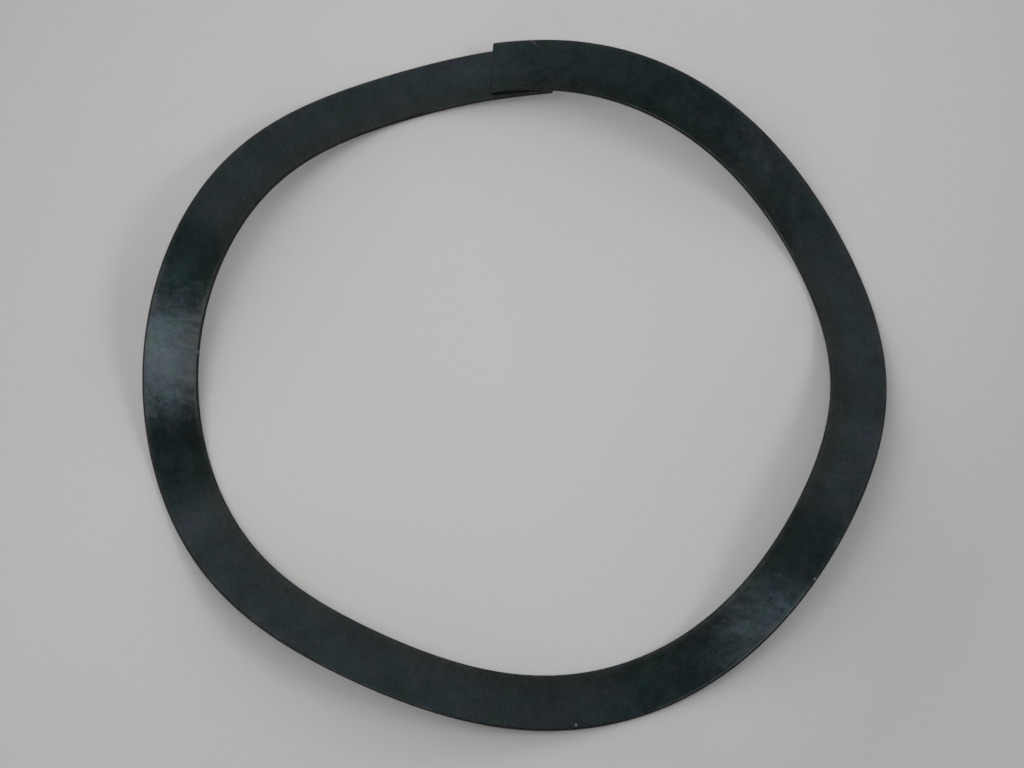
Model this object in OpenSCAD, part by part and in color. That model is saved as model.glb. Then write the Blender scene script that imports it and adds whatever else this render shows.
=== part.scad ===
// Single-turn wave spring: one flat strip, wound on edge into a ring and waved up and down.
// The two cut ends lap over each other. The ring lies on its valleys, which all touch z = 0.
// The origin is at the ring's centre on that surface, and the outer corner of the upper end is at +Y.

/* [Ring] */
// Mean outer diameter of the ring
ring_d = 100; // [80:1:140]
// How much longer the ring's longest radius is than its mean radius
oval = 0.57; // [0:0.01:1.5]
// Direction of the longest radius, counted from +X
oval_angle = 154; // [0:1:180]
// How far the strip draws in at each crest and out at each valley
draw_in = 0.43; // [0:0.01:1]
// How far the strip stands out halfway between a crest and a valley
bow_out = 0.08; // [0:0.02:0.5]

/* [Strip] */
// Width of the flat strip, between its rounded edges
strip_w = 7.6; // [4:0.1:12]
// Thickness of the strip
strip_t = 0.65; // [0.4:0.05:1.2]
// Radius of the corners at the two cut ends
corner_r = 0.3; // [0.1:0.1:1.5]

/* [Waves] */
// Rise of each crest above the valleys, from the upper end around
crest_rise = [8.5, 7.3, 5.8, 8.1]; // [4:0.1:12]
// Angle from the upper cut end down the strip to the first crest
first_crest_angle = 29.3; // [24:0.1:36]

/* [Lapped ends] */
// Angle over which the upper end lies above the lower end
lap_angle = 12; // [6:0.5:16]
// Gap between the laps along the inner edge, where it is smallest
lap_gap = 0.1; // [0.1:0.05:1]
// How far the tip of the upper end springs outwards
upper_flare = 0.73; // [0:0.01:1.5]
// How far the tip of the lower end springs outwards
lower_flare = 0.63; // [0:0.01:1.5]
// Angle of both cuts off the radial line, with the upper end's inner corner further along
cut_angle = 7; // [-8:1:8]

/* [Hidden] */

waves = len(crest_rise);
half_wave = 180 / waves;
turn = 360 + lap_angle;
mean_r = ring_d / 2;
edge_r = strip_t / 2;

// Both laps follow the same wave, the upper one higher by this step at the mean outer radius
steepest = 90 * crest_rise[0] / (half_wave * mean_r);
thickest = strip_t * sqrt(1 + pow(steepest, 2));
lap_step = (thickest + lap_gap) * mean_r / (mean_r - strip_w);

// The strip waves between these heights, one every half wave.
// It never reaches the first, past its upper end, or the last two, past its lower end.
lower_crest = crest_rise[0] - lap_step;
heights = concat([lap_step], [for (crest = crest_rise) each [crest, 0]], [lower_crest, 0]);

// Angles from each tip over which it springs outwards, and over which the sections turn to its cut
upper_flare_angle = 60;
lower_flare_angle = 12;
cut_turn_angle = 10;

// Steps around the ring, around each rounded edge and around each corner
ring_step_angle = 1.25;
edge_step_angle = 30;
corner_steps = 3;

// Half waves passed since the valley before the upper end, at an angle run down the strip
function phase(run) = (half_wave - first_crest_angle + run) / half_wave;

// Direction from the centre, as the strip runs clockwise from +Y
function direction(run) = 90 - run;

// 1 at a tip, falling smoothly to 0 at an angle from it
function fading(from_tip, angle) = pow(max(0, 1 - from_tip / angle), 2);

function outer_r(run) = mean_r
    + oval * cos(2 * (direction(run) - oval_angle))
    + draw_in * cos(180 * phase(run))
    - bow_out * cos(360 * phase(run))
    + upper_flare * fading(run, upper_flare_angle)
    + lower_flare * fading(turn - run, lower_flare_angle);

// Height of the strip's lower face at the mean outer radius. It falls evenly to the axis from there,
// since every radial line on the strip is straight.
function rise(run) = let (
    i = floor(phase(run)),
    blend = (1 - cos(180 * (phase(run) - i))) / 2
) heights[i] + (heights[i + 1] - heights[i]) * blend;

// Rise of the strip for each millimetre along it
function slope(run) = (rise(run + 0.5) - rise(run - 0.5)) / (mean_r * PI / 180);

// The flat strip stands thicker in z where it climbs
function lean(run) = sqrt(1 + pow(slope(run), 2));

// Distance from the nearer cut end, along the outer edge
function to_end(run) = min(run, turn - run) * mean_r * PI / 180;

// How far a corner's arc stands in from the strip's edge, at a distance from the cut
function corner_inset(s) = s >= corner_r ? 0
    : corner_r - sqrt(pow(corner_r, 2) - pow(corner_r - s, 2));

// Section as [distance in from the outer edge, height], once around its rounded edges
function section(inset) = concat(
    [for (a = [-90:edge_step_angle:90])
        [inset + edge_r - edge_r * cos(a), edge_r + edge_r * sin(a)]],
    [for (a = [90:-edge_step_angle:-90])
        [strip_w - inset - edge_r + edge_r * cos(a), edge_r + edge_r * sin(a)]]
);

// How far a point of the section stands back from the radial line, near the two slanted cuts
function cut_slant(run, inset) = atan(tan(cut_angle) * inset / (mean_r - inset))
    * fading(min(run, turn - run), cut_turn_angle);

// One ring of points: the section stood at an angle run down the strip
function station(run) = [
    for (p = section(corner_inset(to_end(run))))
        let (
            at = run - cut_slant(run, p[0]),
            r = outer_r(at) - p[0],
            z = rise(at) * r / mean_r + p[1] * lean(at)
        )
        [r * cos(direction(at)), r * sin(direction(at)), z]
];

// Angles at which the sections stand, closer together around the corners
corner_angle = corner_r / mean_r * 180 / PI;
plain_steps = ceil((turn - 2 * corner_angle) / ring_step_angle);
corner_runs = [
    for (k = [0:corner_steps - 1]) corner_angle * (1 - cos(90 * k / corner_steps))
];
runs = concat(
    corner_runs,
    [for (k = [0:plain_steps]) corner_angle + k * (turn - 2 * corner_angle) / plain_steps],
    [for (k = [corner_steps - 1:-1:0]) turn - corner_runs[k]]
);

// Closed skin over a row of equal rings of points, with flat caps at its two ends
module skin(rings) {
    n = len(rings[0]);
    last = (len(rings) - 1) * n;
    sides = [
        for (k = [0:len(rings) - 2], j = [0:n - 1])
            let (a = k * n + j, b = k * n + (j + 1) % n)
            each [[a, b + n, b], [a, a + n, b + n]]
    ];
    start_cap = [for (j = [1:n - 2]) [0, j, j + 1]];
    end_cap = [for (j = [1:n - 2]) [last, last + j + 1, last + j]];
    polyhedron([for (ring = rings) each ring], concat(sides, start_cap, end_cap));
}

module wave_spring() {
    color("darkslategray") skin([for (run = runs) station(run)]);
}

wave_spring();
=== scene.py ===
# A single-turn wave spring: one flat strip of tempered steel, wound on edge into a waved ring.
# The strip is dressed here with its oxide finish and stood on a pale studio floor.
from math import atan2, cos, degrees, hypot, pi, radians, sin, tan

import bpy
from bpy.props import FloatProperty, FloatVectorProperty, PointerProperty
from mathutils import Matrix, Vector
from numpy import interp


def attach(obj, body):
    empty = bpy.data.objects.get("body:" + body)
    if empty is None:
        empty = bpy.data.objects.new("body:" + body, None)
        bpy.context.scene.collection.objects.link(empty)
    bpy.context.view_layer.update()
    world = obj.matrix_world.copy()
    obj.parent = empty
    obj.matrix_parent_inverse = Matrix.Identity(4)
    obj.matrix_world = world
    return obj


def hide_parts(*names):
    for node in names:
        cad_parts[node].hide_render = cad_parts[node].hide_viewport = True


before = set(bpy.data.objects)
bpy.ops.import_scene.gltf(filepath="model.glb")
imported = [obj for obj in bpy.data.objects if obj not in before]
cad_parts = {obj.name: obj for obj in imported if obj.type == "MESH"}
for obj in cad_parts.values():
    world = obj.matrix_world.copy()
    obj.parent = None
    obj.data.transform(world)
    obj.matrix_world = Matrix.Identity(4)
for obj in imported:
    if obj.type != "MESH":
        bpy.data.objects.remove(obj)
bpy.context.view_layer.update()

bl_info = {
    "name": "Wave Spring",
    "version": (1, 0, 0),
    "blender": (4, 5, 0),
    "location": "3D View > Sidebar > Wave Spring",
    "description": "Finishes a flat-strip wave spring and stands it in a small studio",
    "category": "Object",
}

MM = 0.001

# The strip's width and mean outer radius, in mm, the angle that it winds through, the lengths of
# one turn and of the whole strip at its outer edge, and the angle of its cuts off the radial line
STRIP_WIDTH = 7.6
RING_RADIUS = 50
STRIP_ANGLE = 372
TURN_LENGTH = 2 * pi * RING_RADIUS
STRIP_LENGTH = STRIP_ANGLE / 360 * TURN_LENGTH
CUT_ANGLE = radians(7)

# The UV map that holds the way along the strip and the way in from its outer edge
STRIP_MAP = "strip"

# The photograph's width, which the focal length in pixels goes with
PHOTO_WIDTH = 1024
SENSOR_WIDTH = 36.0


class StripSettings(bpy.types.PropertyGroup):
    """The strip's finish"""

    cut_edge_break: FloatProperty(
        name="Cut edge break",
        description="How far the sharp edges of the two sheared ends are broken",
        default=0.04 * MM, min=0.01 * MM, max=0.05 * MM, precision=5,
        subtype="DISTANCE", unit="LENGTH",
    )
    oxide_color: FloatVectorProperty(
        name="Oxide colour",
        description="Blue-black of the tempered strip",
        default=(0.041, 0.056, 0.064), min=0, max=1, size=3, subtype="COLOR",
    )
    oxide_green: FloatVectorProperty(
        name="Greener oxide",
        description="Where the oxide turns a little green",
        default=(0.038, 0.060, 0.058), min=0, max=1, size=3, subtype="COLOR",
    )
    oxide_violet: FloatVectorProperty(
        name="Greyer oxide",
        description="Where the oxide turns a little violet grey",
        default=(0.047, 0.054, 0.067), min=0, max=1, size=3, subtype="COLOR",
    )
    margin_color: FloatVectorProperty(
        name="Margin colour",
        description="Oxide along the strip's inner side, a neutral grey",
        default=(0.042, 0.050, 0.051), min=0, max=1, size=3, subtype="COLOR",
    )
    # Painted sheen: the rims beside both edges are painted lighter, for the bright surroundings
    # that the rounded shoulders reflect
    rim_color: FloatVectorProperty(
        name="Rim colour",
        description="Oxide rubbed lighter beside both edges of the strip",
        default=(0.061, 0.066, 0.068), min=0, max=1, size=3, subtype="COLOR",
    )
    # Darker oxide on the sides; at the cut ends the same dark also paints a thin shade line
    side_and_cut_shade_color: FloatVectorProperty(
        name="Side colour",
        description="Darker oxide on the strip's rounded sides and cut ends",
        default=(0.030, 0.031, 0.030), min=0, max=1, size=3, subtype="COLOR",
    )
    # Worn steel along the shoulders, and a painted highlight of the edges catching the light
    worn_glint_color: FloatVectorProperty(
        name="Worn steel colour",
        description="Steel that shows through along the shoulders of the rounded sides",
        default=(0.13, 0.135, 0.135), min=0, max=1, size=3, subtype="COLOR",
    )
    nick_color: FloatVectorProperty(
        name="Nick colour",
        description="Bright steel at the bottom of a nick",
        default=(0.30, 0.30, 0.29), min=0, max=1, size=3, subtype="COLOR",
    )
    metal: FloatProperty(
        name="Metal",
        description="Share of the surface that reflects as metal, the rest being dull oxide",
        default=0.8, min=0, max=1, subtype="FACTOR",
    )
    roughness: FloatProperty(
        name="Roughness",
        description="Mean roughness of the oxide",
        default=0.18, min=0.05, max=1, subtype="FACTOR",
    )
    mottle: FloatProperty(
        name="Mottle",
        description="How strongly the oxide's grains differ in tone",
        default=1.0, min=0, max=2,
    )


class StudioSettings(bpy.types.PropertyGroup):
    """Floor, world and lamps"""

    floor_size: FloatProperty(
        name="Floor size",
        description="Side of the square floor",
        default=4.0, min=0.5, max=20, subtype="DISTANCE", unit="LENGTH",
    )
    floor_color: FloatVectorProperty(
        name="Floor colour",
        description="Pale grey of the paper under the spring",
        default=(0.533, 0.530, 0.526), min=0, max=1, size=3, subtype="COLOR",
    )
    window_light: FloatProperty(
        name="Window light",
        description="Soft light that comes mostly from the back left",
        default=1.11, min=0, max=4,
    )
    low_light: FloatProperty(
        name="Low light",
        description="Soft light that comes from all round, just above the floor",
        default=1.37, min=0, max=4,
    )
    backdrop: FloatProperty(
        name="Backdrop",
        description="Tone of the surroundings behind the floor",
        default=0.45, min=0, max=1, subtype="FACTOR",
    )
    reflected: FloatProperty(
        name="Reflected surroundings",
        description="Tone of the surroundings that the strip reflects",
        default=0.35, min=0, max=1, subtype="FACTOR",
    )
    dark_front: FloatProperty(
        name="Dark front",
        description="How much darker the strip reflects the surroundings in front of it",
        default=0.75, min=0, max=1, subtype="FACTOR",
    )
    card_color: FloatVectorProperty(
        name="Dark card",
        description="Colour of the card over the ring that the strip reflects",
        default=(0.04, 0.10, 0.09), min=0, max=1, size=3, subtype="COLOR",
    )


class CameraSettings(bpy.types.PropertyGroup):
    """The camera over the ring"""

    focal_pixels: FloatProperty(
        name="Focal length",
        description="Focal length, in pixels of the photograph",
        default=2900, min=500, max=8000,
    )
    distance: FloatProperty(
        name="Distance",
        description="From the camera to the point that it looks at",
        default=397.33 * MM, min=0.1, max=2, subtype="DISTANCE", unit="LENGTH",
    )
    aim: FloatVectorProperty(
        name="Aim",
        description="Point on the floor that the camera looks at, turned with the camera",
        default=(-0.295 * MM, -0.396 * MM), size=2, precision=5,
        subtype="TRANSLATION", unit="LENGTH",
    )
    tilt: FloatProperty(
        name="Tilt",
        description="Angle of the line of sight from the vertical",
        default=radians(21.87), min=0, max=pi / 2, subtype="ANGLE", unit="ROTATION",
    )
    turn: FloatProperty(
        name="Turn",
        description="Angle of the camera around the vertical",
        default=radians(-2.37), min=-pi, max=pi, subtype="ANGLE", unit="ROTATION",
    )
    roll: FloatProperty(
        name="Roll",
        description="Angle of the camera around its line of sight",
        default=radians(-1.066), min=-pi, max=pi, subtype="ANGLE", unit="ROTATION",
    )


def solid_color(color):
    """A colour with its alpha, as a node's socket takes it."""
    return (*color, 1.0)


class Value:
    """A number that changes over a surface: an output socket whose arithmetic adds Math nodes."""

    def __init__(self, shop, socket):
        self.shop = shop
        self.socket = socket

    def math(self, operation, *others, swapped=False):
        """A Math node on this number and others, or with them first."""
        terms = [self, *others]
        if swapped:
            terms.reverse()
        return self.shop.value("ShaderNodeMath", {"operation": operation}, dict(enumerate(terms)))

    def __add__(self, other):
        return self.math("ADD", other)

    def __radd__(self, other):
        return self.math("ADD", other, swapped=True)

    def __sub__(self, other):
        return self.math("SUBTRACT", other)

    def __rsub__(self, other):
        return self.math("SUBTRACT", other, swapped=True)

    def __mul__(self, other):
        return self.math("MULTIPLY", other)

    def __rmul__(self, other):
        return self.math("MULTIPLY", other, swapped=True)

    def __truediv__(self, other):
        return self.math("DIVIDE", other)

    def __pow__(self, other):
        return self.math("POWER", other)

    def __abs__(self):
        return self.math("ABSOLUTE")

    def smaller(self, other):
        return self.math("MINIMUM", other)

    def larger(self, other):
        return self.math("MAXIMUM", other)

    def between(self, low, high):
        """0 below low, 1 above high and smooth in between; low may be the greater."""
        return self.shop.value(
            "ShaderNodeMapRange", {"interpolation_type": "SMOOTHSTEP", "clamp": True},
            {"Value": self, "From Min": low, "From Max": high},
        )


class NodeShop:
    """Makes the nodes of one material or world."""

    def __init__(self, owner):
        owner.use_nodes = True
        self.tree = owner.node_tree
        self.tree.nodes.clear()

    def node(self, kind, settings=None, inputs=None):
        """A node of a type, with its settings, then the values or links of its sockets."""
        made = self.tree.nodes.new(kind)
        for name, setting in (settings or {}).items():
            setattr(made, name, setting)
        for key, given in (inputs or {}).items():
            socket = made.inputs[key]
            given = given.socket if isinstance(given, Value) else given
            if isinstance(given, bpy.types.NodeSocket):
                self.tree.links.new(given, socket)
            else:
                socket.default_value = given
        return made

    def value(self, kind, settings=None, inputs=None, output=0):
        """A node whose output is a number."""
        return Value(self, self.node(kind, settings, inputs).outputs[output])

    def vector(self, x, y, z):
        """A vector of three numbers."""
        return self.node("ShaderNodeCombineXYZ", None, {"X": x, "Y": y, "Z": z}).outputs[0]

    def parts(self, vector):
        """The three numbers of a vector."""
        split = self.node("ShaderNodeSeparateXYZ", None, {"Vector": vector})
        return [Value(self, socket) for socket in split.outputs]

    def noise(self, vector, scale, detail, roughness=0.5):
        """Smooth noise about 0.5."""
        return self.value(
            "ShaderNodeTexNoise", {"noise_dimensions": "3D"},
            {"Vector": vector, "Scale": scale, "Detail": detail, "Roughness": roughness},
        )

    def painted(self, color, coats):
        """A colour under coats of paint, each with its share from 0 to 1 and its own colour."""
        for share, paint in coats:
            mix = self.node(
                "ShaderNodeMix", {"data_type": "RGBA"}, {0: share, 6: color, 7: solid_color(paint)}
            )
            color = mix.outputs[2]
        return color

    def toned(self, color, factor):
        """A colour made lighter or darker by a number."""
        scaled = self.node(
            "ShaderNodeVectorMath", {"operation": "SCALE"}, {0: color, "Scale": factor}
        )
        return scaled.outputs[0]

    def surface(self, shader, inputs, output="ShaderNodeOutputMaterial"):
        """Ends the nodes in a shader, given the values or links of its sockets."""
        made = self.node(shader, None, inputs)
        self.node(output, None, {"Surface": made.outputs[0]})


# The oxide's grains, from broad to fine: how many to the mm, detail, roughness, how far they are
# moved along the strip, in mm, and their squeeze along it, where less than 1 draws them out
GRAINS = {
    "clouds": (0.22, 2.0, 0.5, 0, 1),
    "tints": (0.3, 2.5, 0.6, 230, 1),
    "patches": (0.6, 3.0, 0.6, 40, 1),
    "spots": (2.2, 4.0, 0.65, 0, 1),
    "drawn": (5.5, 3.0, 0.6, 0, 0.07),
    "dust": (7.0, 2.0, 0.6, 0, 1),
}

# How much the grains change the oxide's tone, its roughness and its relief
TONE_GRAINS = {"clouds": 0.75, "patches": 0.6, "spots": 0.95, "drawn": 0.4, "dust": 0.6}
ROUGHNESS_GRAINS = {"patches": 0.16, "spots": 0.1, "dust": 0.04}
RELIEF_GRAINS = {"clouds": 5.0, "patches": 0.9, "spots": 0.35, "drawn": 0.2, "dust": 0.08}

# Height of the relief for each 1 that its grains add up to
RELIEF_DEPTH = 0.012 * MM

# In the values from here to the nicks, each pair of numbers says where something starts to show and
# where it shows in full. First, the values of the tints at which the oxide is greener and greyer.
GREEN_TINTS = (0.53, 0.64)
VIOLET_TINTS = (0.47, 0.37)

# The greyer inner margin: mm in from the outer edge, how far the patches move its boundary in and
# out, in mm, and its share of the colour
MARGIN_INSET = (4.2, 6.0)
MARGIN_WAVER = 3.0
MARGIN_SHARE = 0.9

# The rims, painted sheen where the rounded shoulders beside each edge reflect the bright
# surroundings:
# mm in from each edge, and mm along the strip, where the outer rim's sheen shows up to one place
# and again from another, and the inner rim's between two. Their share and added roughness come
# last.
RIM_SHEEN_INSET = (0.95, 0.25)
OUTER_SHEEN_UNTIL = (130, 105)
OUTER_SHEEN_AGAIN = (180, 205)
INNER_SHEEN_FROM = (52, 95)
INNER_SHEEN_UNTIL = (300, 285)
RIM_SHEEN_SHARE = 0.55
RIM_ROUGHNESS = 0.12

# The dull sides: mm in from the nearer edge and from the nearer cut, and their added roughness. At
# the cut ends the dark colour is also a painted shade line.
SIDE_INSET = (0.34, 0.18)
CUT_SHADE_INSET = (0.12, 0.03)
SIDE_ROUGHNESS = 0.1

# The worn shoulders of the sides, worn steel with a painted highlight along it: mm in from the
# nearer edge, where they begin and end, the values of the spots and the clouds at which the line
# shows, and its share
SHOULDER_FROM = (0.14, 0.2)
SHOULDER_UNTIL = (0.36, 0.28)
WORN_GLINT_SPOTS = (0.42, 0.6)
WORN_GLINT_CLOUDS = (0.42, 0.58)
WORN_GLINT_SHARE = 0.4

# Nicks, a scratch and faint scuffs that show bright: angle down the strip from the upper end,
# distance in, length and width in mm, how far they are turned off the strip's length, in degrees,
# and how bright they are
NICKS = (
    (174.0, 0.60, 0.32, 0.40, 0, 1.0),
    (131.3, 0.30, 0.36, 0.20, 0, 1.0),
    (125.1, 0.30, 0.30, 0.14, 0, 0.5),
    (277.0, 7.40, 0.50, 0.14, 0, 1.0),
    (6.6, 0.50, 1.40, 0.34, 38, 0.22),
    (48.3, 4.60, 1.20, 1.00, 0, 0.05),
    (50.1, 3.00, 2.20, 1.60, 60, 0.07),
    (52.9, 3.20, 1.60, 1.00, 0, 0.07),
    (141.6, 4.20, 0.45, 0.40, 0, 0.10),
    (142.7, 3.40, 0.60, 0.45, 0, 0.13),
)

# Where a nick starts to show and shows in full, as the square of the distance from its middle, with
# 1 at its outline, and how far the spots move that
NICK_OUTLINE = (1.4, 0.5)
NICK_RAGGED = 4.0

# Stretches where the strip is painted lighter or darker: angle down the strip, half length in
# degrees, and how much lighter. Those at 137, 150, 263 and 289 are painted highlight and painted
# shade at the edges of the strip's highlights; the rest make its tone lighter or darker.
TONE_AND_HIGHLIGHT_STRETCHES = (
    (0, 9, 0.2),
    (97, 11, -0.18),
    (121, 8, -0.18),
    (137, 6, 0.25),
    (150, 8, -0.28),
    (178, 15, -0.2),
    (249, 12, 0.2),
    (263, 5, -0.3),
    (289, 5, 0.35),
    (358, 15, 0.18),
)


def strip_places(shop):
    """Millimetres along the strip and in from its outer edge, and height."""
    strip_map = shop.node("ShaderNodeUVMap", {"uv_map": STRIP_MAP}).outputs[0]
    along, across, _ = shop.parts(strip_map)
    place = shop.node("ShaderNodeTexCoord").outputs["Object"]
    _, _, height = shop.parts(place)
    return along / MM, across / MM, height / MM


def oxide_grains(shop, along, across, height):
    """Each grain's noise, by its name."""
    grains = {}
    for name, (scale, detail, roughness, shift, squeeze) in GRAINS.items():
        place = shop.vector(along * squeeze + shift, across, height)
        grains[name] = shop.noise(place, scale, detail, roughness)
    return grains


def grained(grains, weights):
    """What the grains add to a number, above and below its mean."""
    return sum((grains[name] - 0.5) * weight for name, weight in weights.items())


def painted_rim_sheen(along, across):
    """Painted sheen: where the strip is painted lighter beside its edges, along parts of the turn.
    """
    outer_sheen_run = along.between(*OUTER_SHEEN_UNTIL).larger(along.between(*OUTER_SHEEN_AGAIN))
    inner_sheen_run = along.between(*INNER_SHEEN_FROM) * along.between(*INNER_SHEEN_UNTIL)
    outer_rim_sheen = across.between(*RIM_SHEEN_INSET) * outer_sheen_run
    inner_rim_sheen = (STRIP_WIDTH - across).between(*RIM_SHEEN_INSET) * inner_sheen_run
    return outer_rim_sheen.larger(inner_rim_sheen)


def dull_sides_and_cut_shade(along, across, inset):
    """Where the strip turns over to its rounded sides and its slanted cut ends, with painted shade
    at the cuts.
    """
    slant = across * tan(CUT_ANGLE) / (1 - across / RING_RADIUS)
    cut = (along + slant).smaller(STRIP_LENGTH - along - slant)
    return inset.between(*SIDE_INSET).larger(cut.between(*CUT_SHADE_INSET))


def worn_glinting_shoulders(grains, inset):
    """A thin broken line along the shoulders of the rounded sides: worn steel and painted
    highlight.
    """
    shoulder = inset.between(*SHOULDER_FROM) * inset.between(*SHOULDER_UNTIL)
    worn_glint_spots = grains["spots"].between(*WORN_GLINT_SPOTS)
    return shoulder * worn_glint_spots * grains["clouds"].between(*WORN_GLINT_CLOUDS)


def bright_nicks(grains, along, across):
    """How bright the nicks, the scratch and the scuffs show, each a ragged oval."""
    nicked = 0
    for run, inset, length, width, turned, bright in NICKS:
        ahead = along - run / 360 * TURN_LENGTH
        aside = across - inset
        turn, lean = cos(radians(turned)), sin(radians(turned))
        far = (
            ((ahead * turn + aside * lean) / (length / 2)) ** 2
            + ((aside * turn - ahead * lean) / (width / 2)) ** 2
            + (grains["spots"] - 0.5) * NICK_RAGGED
        )
        nicked = (far.between(*NICK_OUTLINE) * bright).larger(nicked)
    return nicked


def stretch_tones_and_highlights(along):
    """The strip's tone along it: 1, and more or less within the stretches, some of them painted
    highlight and shade.
    """
    run = along / TURN_LENGTH * 360
    tone = 1
    for middle, half, lighter in TONE_AND_HIGHLIGHT_STRETCHES:
        tone = tone + abs(run - middle).between(half, 0) * lighter
    return tone


def tempered_oxide(settings):
    """Blue-black oxide on rolled strip: mottled, faintly drawn along it and worn at its edges.
    Its rims carry painted sheen, its shoulders and some stretches painted highlight and shade.
    """
    material = bpy.data.materials.new("tempered_blue_black_oxide")
    shop = NodeShop(material)
    along, across, height = strip_places(shop)
    inset = across.smaller(STRIP_WIDTH - across)
    grains = oxide_grains(shop, along, across, height)

    margin = (across + (grains["patches"] - 0.5) * MARGIN_WAVER).between(*MARGIN_INSET)
    rim_sheen = painted_rim_sheen(along, across)
    side = dull_sides_and_cut_shade(along, across, inset)
    worn_glint = worn_glinting_shoulders(grains, inset)
    nicked = bright_nicks(grains, along, across)

    color = shop.painted(solid_color(settings.oxide_color), (
        (grains["tints"].between(*GREEN_TINTS), settings.oxide_green),
        (grains["tints"].between(*VIOLET_TINTS), settings.oxide_violet),
        (margin * MARGIN_SHARE, settings.margin_color),
        # painted sheen beside both edges
        (rim_sheen * RIM_SHEEN_SHARE, settings.rim_color),
    ))
    tone = 1 + settings.mottle * grained(grains, TONE_GRAINS)
    # painted highlight and shade in some stretches, tone in the rest
    color = shop.toned(color, tone * stretch_tones_and_highlights(along))
    color = shop.painted(color, (
        # darker sides, and a painted shade line at the cut ends
        (side, settings.side_and_cut_shade_color),
        # worn steel and a painted highlight along the shoulders
        (worn_glint * WORN_GLINT_SHARE, settings.worn_glint_color),
        (nicked, settings.nick_color),
    ))

    roughness = (
        settings.roughness + grained(grains, ROUGHNESS_GRAINS)
        + rim_sheen * RIM_ROUGHNESS + side * SIDE_ROUGHNESS
    )
    relief = grained(grains, RELIEF_GRAINS) - nicked
    bump = shop.node(
        "ShaderNodeBump", None, {"Strength": 1.0, "Distance": RELIEF_DEPTH, "Height": relief}
    )
    shop.surface("ShaderNodeBsdfPrincipled", {
        "Base Color": color, "Metallic": settings.metal, "Roughness": roughness,
        "Normal": bump.outputs[0],
    })
    return material


# A painted pool of light on the floor paper: the point where it is lightest, its tone there, how
# much it falls at one reach to the right and at one to the back, how much less where both meet, and
# the most it falls
LIGHT_POOL_CENTRE = (-9.6 * MM, 25.8 * MM)
LIGHT_POOL_TONE = 1.014
LIGHT_POOL_REACH = 60 * MM
LIGHT_POOL_FALL_RIGHT = 0.084
LIGHT_POOL_FALL_BACK = 0.052
LIGHT_POOL_LESS_WHERE_BOTH = 0.041
LIGHT_POOL_MOST_FALL = 0.2

# The paper's roughness and its fibres: how many to the metre, detail, and how they differ in tone
PAPER_ROUGHNESS = 0.9
PAPER_FIBRES = 900
PAPER_FIBRE_DETAIL = 2
PAPER_FIBRE_TONE = 0.02


def studio_paper(settings):
    """Pale grey paper with a painted pool of light, lightest inside the ring, a little behind its
    middle.
    """
    material = bpy.data.materials.new("pale_studio_paper")
    shop = NodeShop(material)
    place = shop.node("ShaderNodeTexCoord").outputs["Object"]
    x, y, _ = shop.parts(place)
    right = (x - LIGHT_POOL_CENTRE[0]) / LIGHT_POOL_REACH
    back = (y - LIGHT_POOL_CENTRE[1]) / LIGHT_POOL_REACH
    # Painted pool of light: the paper turns darker away from its lightest point
    light_fall = (
        right ** 2 * LIGHT_POOL_FALL_RIGHT + back ** 2 * LIGHT_POOL_FALL_BACK
        - right * back * LIGHT_POOL_LESS_WHERE_BOTH
    )
    fibres = shop.noise(place, PAPER_FIBRES, PAPER_FIBRE_DETAIL)
    tone = LIGHT_POOL_TONE - light_fall.smaller(LIGHT_POOL_MOST_FALL)
    tone = tone * (1 + (fibres - 0.5) * PAPER_FIBRE_TONE)
    shop.surface("ShaderNodeBsdfPrincipled", {
        "Base Color": shop.toned(tuple(settings.floor_color), tone),
        "Roughness": PAPER_ROUGHNESS, "Specular IOR Level": 0.0,
    })
    return material


def select_only(piece):
    """Makes a piece the only one selected, and the active one."""
    bpy.ops.object.select_all(action="DESELECT")
    piece.select_set(True)
    bpy.context.view_layer.objects.active = piece


def enter_edit(piece):
    """Opens a piece in edit mode."""
    select_only(piece)
    bpy.ops.object.mode_set(mode="EDIT")


def leave_edit():
    """Goes back to object mode."""
    bpy.ops.object.mode_set(mode="OBJECT")


def select_faces(mesh, wanted):
    """Selects the faces that a test picks, in object mode."""
    for part in (mesh.vertices, mesh.edges, mesh.polygons):
        part.foreach_set("select", [False] * len(part))
    for face in mesh.polygons:
        face.select = wanted(face)


# How close two vertices are merged, and how far two triangles may turn from each other, and their
# quad's corners from square ones, to be joined
MERGE_DISTANCE = 0.0005 * MM
QUAD_TURN = radians(20)
QUAD_SKEW = radians(60)


def merged_copy(node, name):
    """A new object with a CAD node's mesh, its loose triangles joined up into rows of quads."""
    piece = bpy.data.objects.new(name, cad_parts[node].data.copy())
    piece.data.name = name
    bpy.context.scene.collection.objects.link(piece)
    piece.data.materials.clear()
    enter_edit(piece)
    bpy.ops.mesh.select_all(action="SELECT")
    bpy.ops.mesh.remove_doubles(threshold=MERGE_DISTANCE)
    bpy.ops.mesh.tris_convert_to_quads(face_threshold=QUAD_TURN, shape_threshold=QUAD_SKEW)
    leave_edit()
    return piece


def winding(mesh):
    """Angle down the strip at each vertex: the turn counted edge by edge along it."""
    neighbours = [[] for _ in mesh.vertices]
    for edge in mesh.edges:
        a, b = edge.vertices
        neighbours[a].append(b)
        neighbours[b].append(a)

    def bearing(index):
        place = mesh.vertices[index].co
        return 90 - degrees(atan2(place.y, place.x))

    # The ends lap over each other at +Y. At -Y the strip passes once, half a turn down, so the
    # count goes both ways from there.
    first = min(range(len(mesh.vertices)), key=lambda i: mesh.vertices[i].co.y)
    run = {first: bearing(first)}
    reached = [first]
    for here in reached:
        for there in neighbours[here]:
            if there not in run:
                turned = (bearing(there) - bearing(here) + 180) % 360 - 180
                run[there] = run[here] + turned
                reached.append(there)
    return [run[i] for i in range(len(mesh.vertices))]


# Degrees of the turn in which the outer edge is read once
EDGE_STEP = 2


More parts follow.
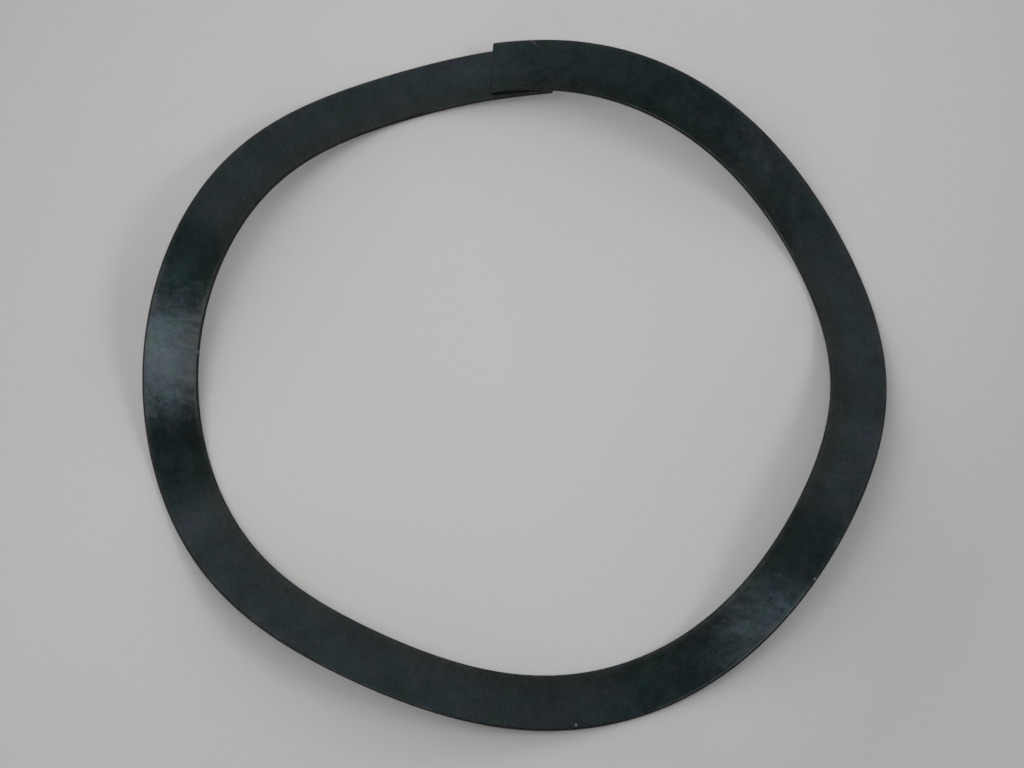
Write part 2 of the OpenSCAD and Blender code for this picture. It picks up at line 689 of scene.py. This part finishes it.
def outer_edge(run, reach):
    """The strip's outer edge: angle and radius of the farthest vertex in every step."""
    farthest = {}
    for angle, radius in zip(run, reach):
        step = angle // EDGE_STEP
        if radius > farthest.get(step, (0, 0))[1]:
            farthest[step] = (angle, radius)
    return zip(*sorted(farthest.values()))


def map_strip(piece):
    """A UV map, in metres: the way along the strip and the way in from its outer edge."""
    mesh = piece.data
    run = winding(mesh)
    reach = [hypot(v.co.x, v.co.y) for v in mesh.vertices]
    angles, radii = outer_edge(run, reach)
    inset = interp(run, angles, radii) - reach
    uv = mesh.uv_layers.new(name=STRIP_MAP)
    for loop in mesh.loops:
        i = loop.vertex_index
        uv.data[loop.index].uv = (run[i] / 360 * TURN_LENGTH * MM, inset[i])


# How squarely a face of a cut end looks along the strip, from 0 to 1
END_SQUARENESS = 0.7


def faces_strip_end(face):
    """Whether a face looks along the strip, as only those of the two cut ends do."""
    tangent = Vector((-face.center.y, face.center.x, 0)).normalized()
    return abs(face.normal.dot(tangent)) > END_SQUARENESS


def break_cut_edges(piece, width):
    """Makes each cut end one face and breaks its sharp edge."""
    select_faces(piece.data, faces_strip_end)
    enter_edit(piece)
    bpy.ops.mesh.select_mode(type="FACE")
    bpy.ops.mesh.dissolve_faces()
    bpy.ops.mesh.region_to_loop()
    bpy.ops.mesh.bevel(offset=width, segments=2, affect="EDGES", clamp_overlap=True)
    leave_edit()


# Edges are shaded smooth up to this angle between their faces
SMOOTH_ANGLE = radians(40)


def smooth_strip(piece):
    """Rounds the shading of the edges and keeps it flat on the strip's two faces."""
    select_only(piece)
    bpy.ops.object.shade_smooth_by_angle(angle=SMOOTH_ANGLE)
    flatten = piece.modifiers.new("flat_faces", "WEIGHTED_NORMAL")
    flatten.keep_sharp = True
    bpy.ops.object.modifier_apply(modifier=flatten.name)


class WAVESPRING_OT_strip(bpy.types.Operator):
    """Finish the strip: smooth faces, broken cut edges and tempered oxide"""

    bl_idname = "wavespring.strip"
    bl_label = "Wave Spring Strip"

    def execute(self, context):
        settings = context.scene.wave_spring_strip
        strip = merged_copy("wave_spring", "wave_spring_strip")
        map_strip(strip)
        break_cut_edges(strip, settings.cut_edge_break)
        smooth_strip(strip)
        strip.data.materials.append(tempered_oxide(settings))
        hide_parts("wave_spring")
        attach(strip, "root")
        return {"FINISHED"}


# Lamps around the ring: name, bearing from +X and height in degrees, distance, width and height in
# metres, share of the floor's light, and whether the strip shows it as a reflection
LAMPS = (
    ("right_lamp", 344, 44, 0.9, 0.38, 0.24, 0.144, False),
    ("left_lamp", 196, 68, 0.9, 0.42, 0.76, 0.155, False),
    ("front_panel", 240.7, 68.2, 0.56, 0.407, 0.193, 0.129, True),
    ("back_right_window", 43, 22, 1.1, 0.40, 0.68, 0.060, False),
    ("front_window", 250, 22, 1.1, 0.14, 0.70, 0.038, False),
    ("back_low_window", 94, 4, 1.1, 1.10, 0.13, 0.067, False),
)


def direction_of(bearing, height):
    """A unit vector towards a bearing from +X and a height above the floor, in degrees."""
    bearing, height = radians(bearing), radians(height)
    return Vector((cos(height) * cos(bearing), cos(height) * sin(bearing), sin(height)))


def add_lamp(name, bearing, height, distance, width, tall, share, reflected):
    """An area lamp that faces the ring, strong enough to give its share of the floor's light."""
    toward = direction_of(bearing, height)
    facing = toward.to_track_quat("Z", "Y").to_euler()
    bpy.ops.object.light_add(type="AREA", location=toward * distance, rotation=facing)
    lamp = bpy.context.active_object
    lamp.name = lamp.data.name = name
    lamp.data.shape = "RECTANGLE"
    lamp.data.size, lamp.data.size_y = width, tall
    lamp.data.energy = share * pi ** 2 * distance ** 2 / sin(radians(height))
    lamp.visible_camera = False
    lamp.visible_glossy = reflected


# The dark card over the ring, an oval that only the steel shows: centre, half length and half width
# in mm, its turn in degrees, and the number of corners that draw its outline
CARD_CENTRE = (-247, 117, 588)
CARD_HALF_SIZES = (544, 169)
CARD_TURN = -20.6
CARD_CORNERS = 96


def hang_card(color):
    """Hangs the dark card, unlit and in one colour."""
    bpy.ops.mesh.primitive_circle_add(
        vertices=CARD_CORNERS, radius=MM, fill_type="NGON",
        location=[c * MM for c in CARD_CENTRE], rotation=(0, 0, radians(CARD_TURN)),
    )
    card = bpy.context.active_object
    card.scale = (*CARD_HALF_SIZES, 1)
    card.name = "dark_card"
    material = bpy.data.materials.new("dark_card")
    shop = NodeShop(material)
    shop.surface("ShaderNodeEmission", {"Color": solid_color(color), "Strength": 1.0})
    card.data.materials.append(material)
    for seen_by in ("camera", "diffuse", "transmission", "shadow"):
        setattr(card, "visible_" + seen_by, False)


# The soft window light's bearing and height, in degrees, and how closely it keeps to them. The low
# light keeps to the horizon in the same way.
WINDOW_BEARING = 110
WINDOW_HEIGHT = 43
WINDOW_FOCUS = 3
LOW_FOCUS = 4

# How much darker the steel reflects the surroundings towards +X and towards +Y, and the Y part of a
# direction at which the dark front starts and is full
DARKER_RIGHT = 0.24
DARKER_BACK = 0.16
FRONT_STARTS = -0.30
FRONT_FULL = -0.60


def surroundings(settings):
    """Soft light, with the backdrop's tone where the camera or the steel sees it."""
    world = bpy.data.worlds.new("studio_surroundings")
    shop = NodeShop(world)
    seen = shop.node("ShaderNodeLightPath")
    camera_ray = Value(shop, seen.outputs["Is Camera Ray"])
    glossy_ray = Value(shop, seen.outputs["Is Glossy Ray"])
    clear_ray = Value(shop, seen.outputs["Is Transmission Ray"])
    sky = shop.node("ShaderNodeTexCoord").outputs["Generated"]
    right, back, up = shop.parts(sky)
    window = direction_of(WINDOW_BEARING, WINDOW_HEIGHT)
    to_window = shop.value(
        "ShaderNodeVectorMath", {"operation": "DOT_PRODUCT"}, {0: sky, 1: window}, "Value"
    )
    soft = (
        settings.window_light * to_window.larger(0) ** WINDOW_FOCUS
        + settings.low_light * (1 - up.larger(0)) ** LOW_FOCUS
    )
    plain = camera_ray.larger(clear_ray)
    front = settings.dark_front * back.between(FRONT_STARTS, FRONT_FULL)
    mirrored = settings.reflected * (1 - right * DARKER_RIGHT - back * DARKER_BACK) * (1 - front)
    strength = (
        soft * (1 - plain.larger(glossy_ray))
        + settings.backdrop * plain
        + mirrored * glossy_ray
    )
    shop.surface(
        "ShaderNodeBackground", {"Color": (1, 1, 1, 1), "Strength": strength},
        "ShaderNodeOutputWorld",
    )
    return world


class WAVESPRING_OT_studio(bpy.types.Operator):
    """Lay the pale floor and set up the lamps, the card and the surroundings"""

    bl_idname = "wavespring.studio"
    bl_label = "Studio"

    def execute(self, context):
        settings = context.scene.wave_spring_studio
        bpy.ops.mesh.primitive_plane_add(size=settings.floor_size, location=(0, 0, 0))
        floor = context.active_object
        floor.name = "studio_floor"
        floor.data.materials.append(studio_paper(settings))
        for lamp in LAMPS:
            add_lamp(*lamp)
        hang_card(settings.card_color)
        context.scene.world = surroundings(settings)
        context.scene.view_settings.view_transform = "Standard"
        return {"FINISHED"}


# The nearest and the farthest that the camera sees, in metres
NEAREST = 0.01
FARTHEST = 20


class WAVESPRING_OT_camera(bpy.types.Operator):
    """Set the camera over the near side of the ring"""

    bl_idname = "wavespring.camera"
    bl_label = "Camera"

    def execute(self, context):
        settings = context.scene.wave_spring_camera
        turned = Matrix.Rotation(settings.turn, 4, "Z")
        aimed = turned @ Matrix.Rotation(settings.tilt, 4, "X")
        target = turned @ Vector((*settings.aim, 0))
        place = target + aimed @ Vector((0, 0, settings.distance))
        rolled = aimed @ Matrix.Rotation(settings.roll, 4, "Z")
        bpy.ops.object.camera_add(location=place, rotation=rolled.to_euler())
        camera = context.active_object
        camera.name = camera.data.name = "camera"
        camera.data.sensor_width = SENSOR_WIDTH
        camera.data.lens = settings.focal_pixels / PHOTO_WIDTH * SENSOR_WIDTH
        camera.data.clip_start = NEAREST
        camera.data.clip_end = FARTHEST
        context.scene.camera = camera
        return {"FINISHED"}


class WAVESPRING_PT_panel(bpy.types.Panel):
    """Wave spring tools"""

    bl_idname = "WAVESPRING_PT_panel"
    bl_label = "Wave Spring"
    bl_space_type = "VIEW_3D"
    bl_region_type = "UI"
    bl_category = "Wave Spring"

    def draw(self, context):
        for group, operator in (
            (context.scene.wave_spring_strip, WAVESPRING_OT_strip),
            (context.scene.wave_spring_studio, WAVESPRING_OT_studio),
            (context.scene.wave_spring_camera, WAVESPRING_OT_camera),
        ):
            box = self.layout.box()
            box.operator(operator.bl_idname)
            for name in group.__annotations__:
                box.prop(group, name)


CLASSES = (
    StripSettings,
    StudioSettings,
    CameraSettings,
    WAVESPRING_OT_strip,
    WAVESPRING_OT_studio,
    WAVESPRING_OT_camera,
    WAVESPRING_PT_panel,
)


def register():
    for made in CLASSES:
        bpy.utils.register_class(made)
    bpy.types.Scene.wave_spring_strip = PointerProperty(type=StripSettings)
    bpy.types.Scene.wave_spring_studio = PointerProperty(type=StudioSettings)
    bpy.types.Scene.wave_spring_camera = PointerProperty(type=CameraSettings)


def unregister():
    del bpy.types.Scene.wave_spring_camera
    del bpy.types.Scene.wave_spring_studio
    del bpy.types.Scene.wave_spring_strip
    for made in reversed(CLASSES):
        bpy.utils.unregister_class(made)


def main():
    register()
    bpy.ops.wavespring.strip()
    bpy.ops.wavespring.studio()
    bpy.ops.wavespring.camera()


if __name__ == "__main__":
    main()
